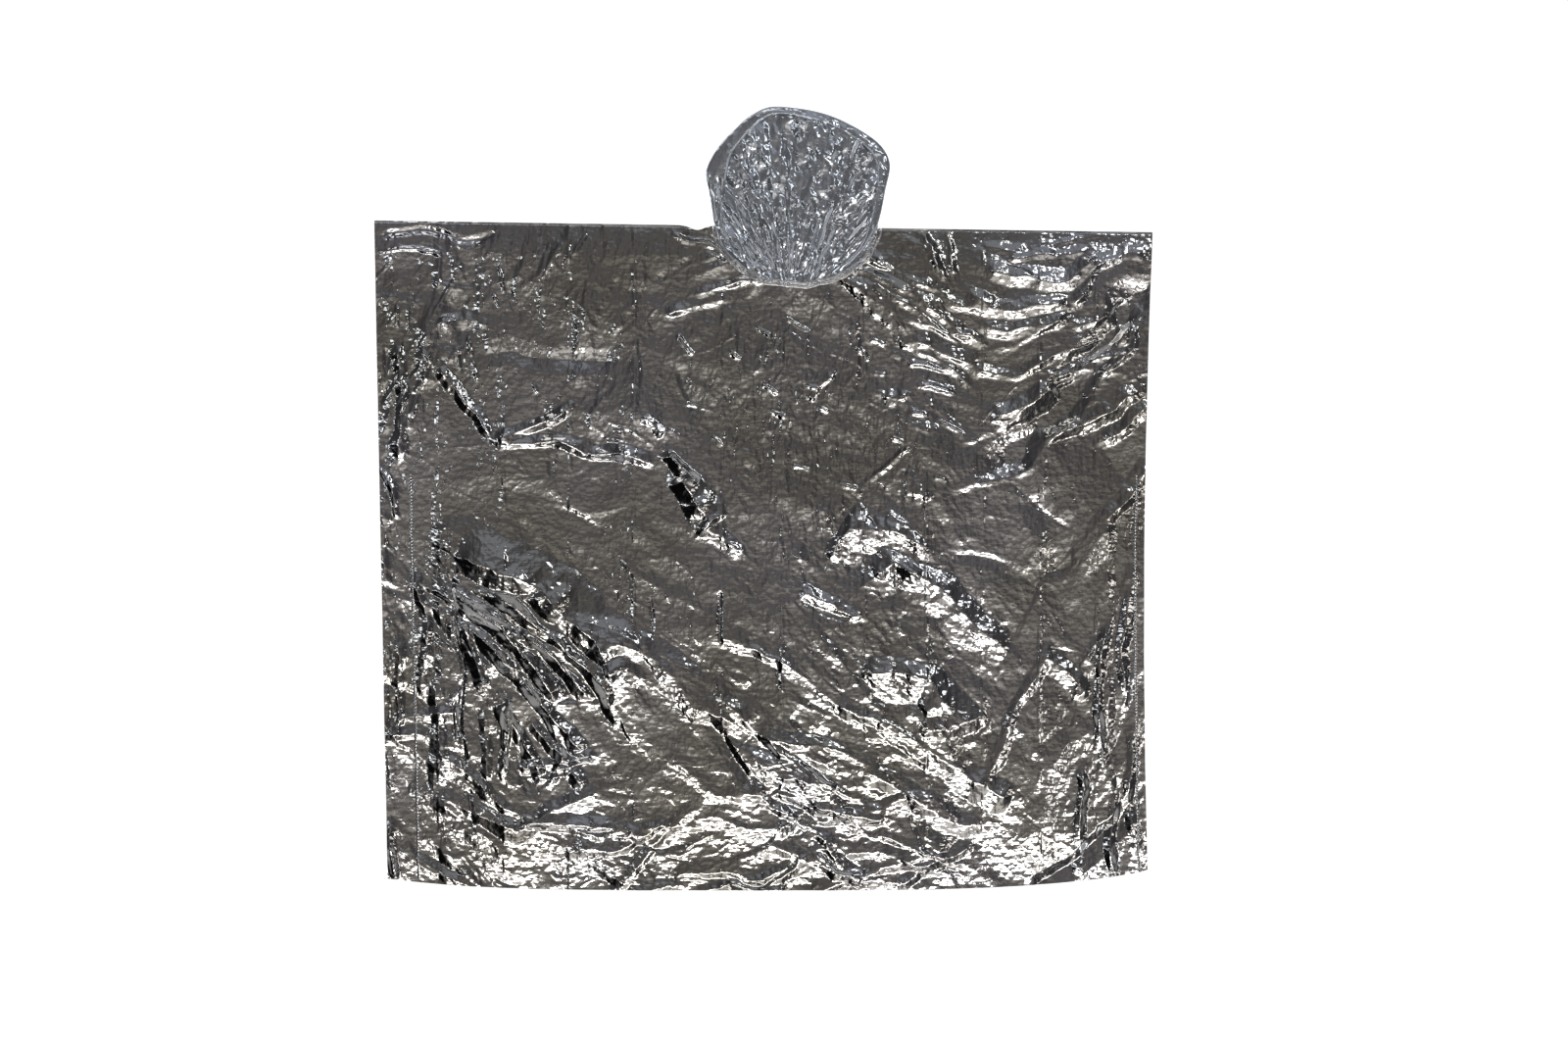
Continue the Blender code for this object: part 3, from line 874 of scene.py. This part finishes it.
def hood_outline():
    """The hood's whole outline, anticlockwise from the lowest point of the neck curve."""
    points = node_points("hood_brim")
    angle = np.arctan2(points[:, 1] - HOOD_MIDDLE[1], points[:, 0] - HOOD_MIDDLE[0])
    points, angle = points[np.argsort(angle)], np.sort(angle)
    r = np.hypot(*(points - HOOD_MIDDLE).T)
    outer = []
    for k in range(len(points)):
        near = np.abs(angle - angle[k]) < 0.12
        if r[k] >= r[near].max() - 0.012:
            outer.append(points[k])
    crown = np.array(outer)
    crown = crown[crown[:, 1] > NECK_FOLD_Y]
    crown_angle = np.arctan2(crown[:, 1] - NECK_FOLD_Y + 0.02, crown[:, 0] - HOOD_MIDDLE[0])
    crown = crown[np.argsort(crown_angle)]
    neck = neck_path()
    neck = neck[np.abs(neck[:, 0] - NECK_X) < NECK_HALF_WIDTH * 0.995]
    return np.concatenate([neck, crown])


def blob_grid(outline, middle, step):
    """A square grid bent to fill an outline round a middle point."""
    closed = resampled(np.concatenate([outline, outline[:1]]), step)
    radius = np.hypot(*(closed - middle).T).max()
    n = int(2 * radius / step)
    a, b = np.meshgrid(np.linspace(-1, 1, n + 1), np.linspace(-1, 1, n + 1))
    ring = np.maximum(np.abs(a), np.abs(b))
    angle = np.arctan2(b, a)
    off = closed[:-1] - middle
    angles = np.arctan2(off[:, 1], off[:, 0])
    order = np.argsort(angles)
    reach = np.hypot(*off.T)[order]
    r = np.interp(angle, angles[order], reach, period=2 * math.pi) * ring
    return middle[0] + r * np.cos(angle), middle[1] + r * np.sin(angle), ring


def hood_relief(x, y):
    """Finely crumpled film, creased upwards from the neck weld."""
    angle = np.arctan2(y - HOOD_FAN[1], x - HOOD_FAN[0])
    reach = np.hypot(x - HOOD_FAN[0], y - HOOD_FAN[1])
    around = angle * 0.16
    relief = 0.003 * facets(around, reach / 5, 0.014, SEED + 90, warp=0.15)
    relief += 0.0014 * facets(around, reach / 4, 0.006, SEED + 89, warp=0.15)
    relief += 0.0022 * facets(x, y, 0.036, SEED + 91, stretch=1.5, angle=0.6, warp=0.1)
    relief += 0.0012 * facets(x, y, 0.016, SEED + 92, stretch=2.6, angle=0.8, warp=0.1)
    relief += 0.0008 * facets(x, y, 0.008, SEED + 93, stretch=2.4, angle=2.1, warp=0.1)
    relief += 0.0011 * crinkles(around, reach / 3, 0.012, 0.002, SEED + 94)
    relief += 0.0008 * crinkles(x, y, 0.016, 0.0018, SEED + 95, 2.0, 0.4)
    add_folds(relief, (x, y), (x, y), HOOD_FILM_FOLDS)
    return relief


def add_hood_film(front_map, material):
    """The hood's film, seen on its inner side, from the neck weld up to the crown."""
    x, y, ring = blob_grid(hood_outline(), HOOD_MIDDLE, HOOD_CELL)
    hood_map = HeightMap([x.min(), y.min()], [x.max(), y.max()], hood_relief)
    rim = np.clip((1 - ring) / HOOD_RIM_SHARE, 0, 1)
    neck_side = np.clip((NECK_FOLD_Y - y) / 0.03, 0, 1)
    rim_level = HOOD_RIM_LEVEL * (1 - neck_side) + front_map.heights(x, y) * neck_side
    z = rim_level * (1 - rim) + rim * (HOOD_LEVEL + hood_map.heights(x, y))
    piece = sheet_object("hood_film", x, y, np.maximum(z, LOWEST), None, material)
    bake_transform(piece)
    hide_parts("hood_yoke", "hood_back")
    return piece


def add_brim(material):
    """The hood's edge, turned over at the crown and down both cheeks."""
    outer, inner = [
        resampled(line, path_length(line) / BRIM_ROWS)[: BRIM_ROWS + 1]
        for line in (smooth_path(BRIM_OUTER), smooth_path(BRIM_INNER))
    ]
    rows = min(len(outer), len(inner))
    outer, inner = outer[:rows, None, :], inner[:rows, None, :]
    share, level = np.array(BRIM_SECTION).T
    corners = np.arange(len(share))
    fine = np.linspace(0, corners[-1], BRIM_COLUMNS)
    share = np.interp(fine, corners, share)[None, :, None]
    level = np.interp(fine, corners, level)[None, :]
    points = inner * share + outer * (1 - share)
    x, y = points[..., 0], points[..., 1]
    top = np.clip((level - 0.006) / 0.004, 0, 1)
    soft = 0.001 * facets(x, y, 0.045, SEED + 96, stretch=1.6, angle=0.6)
    soft += 0.0008 * facets(x, y, 0.018, SEED + 97) + 0.001 * crinkles(x, y, 0.03, 0.005, SEED + 98)
    for line, height, low, high in BRIM_FOLDS:
        soft = soft + fold(x, y, line, height, low, high)
    z = level + soft * top
    piece = sheet_object("hood_brim_film", x, y, np.maximum(z, LOWEST), None, material)
    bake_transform(piece)
    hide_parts("hood_brim", "hood_crown_fold")
    return piece


# ---------------- materials


# Each film: name, darker and lighter tint, range of roughness, crinkle, how metallic.
FILMS = [
    ("outer_film", (0.64, 0.62, 0.57), (0.76, 0.75, 0.76), 0.04, 0.1, 0.32, 1.0),
    ("inner_film", (0.5, 0.5, 0.52), (0.6, 0.6, 0.62), 0.18, 0.3, 0.2, 1.0),
    ("hood_film", (0.82, 0.86, 0.92), (0.9, 0.94, 1.00), 0.07, 0.15, 0.3, 0.78),
    ("weld", (0.8, 0.79, 0.78), (0.86, 0.86, 0.86), 0.12, 0.2, 0.1, 1.0),
]
# Noises of the film, from coarse to fine, cycles a metre, and the depths of its crinkles.
BLOTCHES = 4
GLOSS_CHANGES = 45
CRINKLE_CELLS = 110
FINE_CRINKLES = 420
CRINKLE_DEPTH = 0.001
FINE_DEPTH = 0.0006


def principled(name, colour, roughness, metallic):
    material = bpy.data.materials.new(name)
    material.use_nodes = True
    shader = material.node_tree.nodes["Principled BSDF"]
    shader.inputs["Base Color"].default_value = (*colour, 1)
    shader.inputs["Roughness"].default_value = roughness
    shader.inputs["Metallic"].default_value = metallic
    return material, shader


def film_material(name, dark, light, rough_low, rough_high, crinkle, metallic):
    """Metallised film: faint blotches of tint, uneven gloss and two scales of crinkle."""
    material, shader = principled(name, dark, rough_low, metallic)
    nodes, links = material.node_tree.nodes, material.node_tree.links
    plan = nodes.new("ShaderNodeUVMap")
    plan.uv_map = "plan"

    def noise(scale, detail):
        node = nodes.new("ShaderNodeTexNoise")
        node.inputs["Scale"].default_value = scale
        node.inputs["Detail"].default_value = detail
        links.new(plan.outputs["UV"], node.inputs["Vector"])
        return node

    def bump(height, strength, depth):
        node = nodes.new("ShaderNodeBump")
        node.inputs["Strength"].default_value = strength
        node.inputs["Distance"].default_value = depth
        links.new(height, node.inputs["Height"])
        return node

    blotches = noise(BLOTCHES, 3)
    tint = nodes.new("ShaderNodeValToRGB")
    for element, place, colour in zip(tint.color_ramp.elements, (0.38, 0.65), (dark, light)):
        element.position, element.color = place, (*colour, 1)
    links.new(blotches.outputs["Fac"], tint.inputs["Fac"])
    links.new(tint.outputs["Color"], shader.inputs["Base Color"])

    gloss = nodes.new("ShaderNodeMapRange")
    gloss.inputs["To Min"].default_value = rough_low
    gloss.inputs["To Max"].default_value = rough_high
    links.new(noise(GLOSS_CHANGES, 4).outputs["Fac"], gloss.inputs["Value"])
    links.new(gloss.outputs["Result"], shader.inputs["Roughness"])

    cells = nodes.new("ShaderNodeTexVoronoi")
    cells.inputs["Scale"].default_value = CRINKLE_CELLS
    cells.distance = "MANHATTAN"
    links.new(plan.outputs["UV"], cells.inputs["Vector"])
    coarse = bump(cells.outputs["Distance"], crinkle, CRINKLE_DEPTH)
    fine = bump(noise(FINE_CRINKLES, 3).outputs["Fac"], crinkle * 0.25, FINE_DEPTH)
    links.new(coarse.outputs["Normal"], fine.inputs["Normal"])
    links.new(fine.outputs["Normal"], shader.inputs["Normal"])
    return material


# ---------------- studio


SOFTBOX_REACH = 4.2
# Each softbox: name, degrees round from +X, degrees down from straight above, size, radiance
# and colour.
SOFTBOXES = [
    ("south", -84, 22, (2.5, 0.32), 5.4, (1.0, 1.0, 1.0)),
    ("south_west", 232, 25, (0.9, 0.24), 2.6, (1.0, 0.99, 0.97)),
    ("south_low", -90, 48, (2.2, 0.34), 1.9, (1.0, 0.97, 0.94)),
    ("south_east", -44, 25, (1.0, 0.3), 2.2, (1.0, 0.98, 0.96)),
    ("north_east", 48, 30, (1.2, 0.26), 3.6, (0.93, 0.97, 1.0)),
    ("east", -10, 34, (0.2, 1.6), 1.7, (1.0, 0.96, 0.91)),
    ("west", 176, 30, (0.16, 1.6), 2.4, (0.88, 0.95, 1.0)),
    ("north_west_low", 135, 62, (2.6, 0.8), 0.9, (1.0, 0.98, 0.96)),
    ("south_east_low", -45, 70, (1.8, 0.4), 2.0, (0.96, 0.98, 1.0)),
    ("north", 100, 44, (1.6, 0.3), 1.2, (1.0, 0.98, 0.95)),
]

# What lies behind the softboxes. Each ramp gives a colour by how near a way is to its own, 1
# being the same way. A ramp's first two entries are its ends and the rest lie between them.
CEILING_WAY = (-0.06, 0.0, 1)
CEILING_RAMP = [
    (0.0, (0.42, 0.42, 0.43)), (0.999, (0.124, 0.116, 0.112)), (0.24, (0.36, 0.36, 0.37)),
    (0.42, (0.3, 0.3, 0.31)), (0.56, (0.1, 0.1, 0.105)), (0.66, (0.028, 0.028, 0.031)),
    (0.86, (0.048, 0.047, 0.051)), (0.95, (0.066, 0.063, 0.066)), (0.984, (0.092, 0.087, 0.086)),
]
SOUTH_GLOW = [(0.89, (0, 0, 0)), (1.0, (0.62, 0.6, 0.57)), (0.955, (0.085, 0.08, 0.072))]
NORTH_GLOW = [(0.9, (0, 0, 0)), (1.0, (0.17, 0.185, 0.21)), (0.955, (0.03, 0.033, 0.038))]
GLOWS = [((0.06, -0.4, 1), SOUTH_GLOW), ((0.1, 0.6, 1), NORTH_GLOW)]
SHADE_WAY = (-0.8, -0.46, 1)
SHADE_RAMP = [(0.94, (1, 1, 1)), (1.0, (0.06, 0.06, 0.06)), (0.97, (0.14, 0.14, 0.14))]


FLOOR_GREY = 0.86
FLOOR_GLOW = 0.8


def add_floor():
    bpy.ops.mesh.primitive_plane_add(size=30)
    floor = bpy.context.object
    floor.name = "floor"
    material, shader = principled("floor_paper", (FLOOR_GREY,) * 3, 0.9, 0.0)
    shader.inputs["Emission Color"].default_value = (1, 1, 1, 1)
    shader.inputs["Emission Strength"].default_value = FLOOR_GLOW
    floor.data.materials.append(material)


def add_softbox(name, azimuth, tilt, size, radiance, colour):
    """A softbox facing the poncho, tilt degrees from straight above and azimuth degrees from +X."""
    azimuth, tilt = math.radians(azimuth), math.radians(tilt)
    out = math.sin(tilt)
    way = Vector((out * math.cos(azimuth), out * math.sin(azimuth), math.cos(tilt)))
    data = bpy.data.lights.new(name, "AREA")
    data.shape = "RECTANGLE"
    data.size, data.size_y = size
    data.energy = radiance * math.pi * size[0] * size[1]
    data.color = colour
    lamp = bpy.data.objects.new(name, data)
    lamp.location = way * SOFTBOX_REACH
    lamp.rotation_euler = way.to_track_quat("Z", "Y").to_euler()
    lamp.visible_camera = False
    bpy.context.scene.collection.objects.link(lamp)


def studio_world():
    """A dim ceiling, near black round it, light walls, a glow to the south and one to the north.

    The south-west is shaded.
    """
    world = bpy.data.worlds.new("studio")
    world.use_nodes = True
    nodes, links = world.node_tree.nodes, world.node_tree.links
    way = nodes.new("ShaderNodeTexCoord").outputs["Generated"]

    def lobe(direction, ramp):
        dot = nodes.new("ShaderNodeVectorMath")
        dot.operation = "DOT_PRODUCT"
        dot.inputs[1].default_value = Vector(direction).normalized()
        links.new(way, dot.inputs[0])
        colours = nodes.new("ShaderNodeValToRGB")
        colours.color_ramp.interpolation = "EASE"
        for k, (place, colour) in enumerate(ramp):
            steps = colours.color_ramp.elements
            element = steps[k] if k < 2 else steps.new(place)
            element.position = place
            element.color = (*colour, 1)
        links.new(dot.outputs["Value"], colours.inputs["Fac"])
        return colours.outputs["Color"]

    def joined(how, first, second):
        mix = nodes.new("ShaderNodeMix")
        mix.data_type = "RGBA"
        mix.blend_type = how
        mix.inputs["Factor"].default_value = 1
        links.new(first, mix.inputs["A"])
        links.new(second, mix.inputs["B"])
        return mix.outputs["Result"]

    ceiling = lobe(CEILING_WAY, CEILING_RAMP)
    light = joined("MULTIPLY", ceiling, lobe(SHADE_WAY, SHADE_RAMP))
    for direction, ramp in GLOWS:
        light = joined("ADD", light, lobe(direction, ramp))
    links.new(light, nodes["Background"].inputs["Color"])
    bpy.context.scene.world = world


def add_camera():
    """Square above the poncho, far enough that its perspective is faint."""
    data = bpy.data.cameras.new("camera")
    data.sensor_width = 36
    data.lens = 100
    camera = bpy.data.objects.new("camera", data)
    view_width = 2.56
    camera.location = (0.0336, -0.0376, view_width * data.lens / data.sensor_width)
    bpy.context.scene.collection.objects.link(camera)
    bpy.context.scene.camera = camera


# ---------------- build


# How much longer the flat film is than its plan, each way, to leave film for the crumples.
CRUMPLE_SLACK = 1.02


def plan_area(piece):
    """The area a piece covers seen from above, its turned-under parts counted too."""
    mesh = piece.data
    areas = np.empty(len(mesh.polygons))
    mesh.polygons.foreach_get("area", areas)
    normals = np.empty(len(mesh.polygons) * 3)
    mesh.polygons.foreach_get("normal", normals)
    return float((areas * np.abs(normals[2::3])).sum())


def declare_sheet(piece):
    """Works out the cut, the piece's plan with a little more for its crumples, and does not store
    it.
    """
    size = [piece.dimensions.x * CRUMPLE_SLACK, piece.dimensions.y * CRUMPLE_SLACK]
    area = min(plan_area(piece) * CRUMPLE_SLACK**2, size[0] * size[1])


def main():
    add_floor()
    studio_world()
    for softbox in SOFTBOXES:
        add_softbox(*softbox)
    add_camera()
    bpy.context.scene.view_settings.view_transform = "Standard"
    outer, inner, hood, weld = [film_material(*film) for film in FILMS]
    back_map = HeightMap(PLAN_LOW, PLAN_HIGH, back_height)
    front_map = HeightMap(PLAN_LOW, PLAN_HIGH, front_height)
    backs = add_body("back", back_map, inner)
    fronts = add_body("front", front_map, outer)
    add_side_weld("left", front_map, weld)
    add_side_weld("right", front_map, weld)
    add_neck_weld("front", front_map, weld)
    add_neck_weld("back", back_map, weld)
    for piece in backs + fronts + [add_hood_film(front_map, hood)]:
        declare_sheet(piece)
    add_brim(hood)


main()
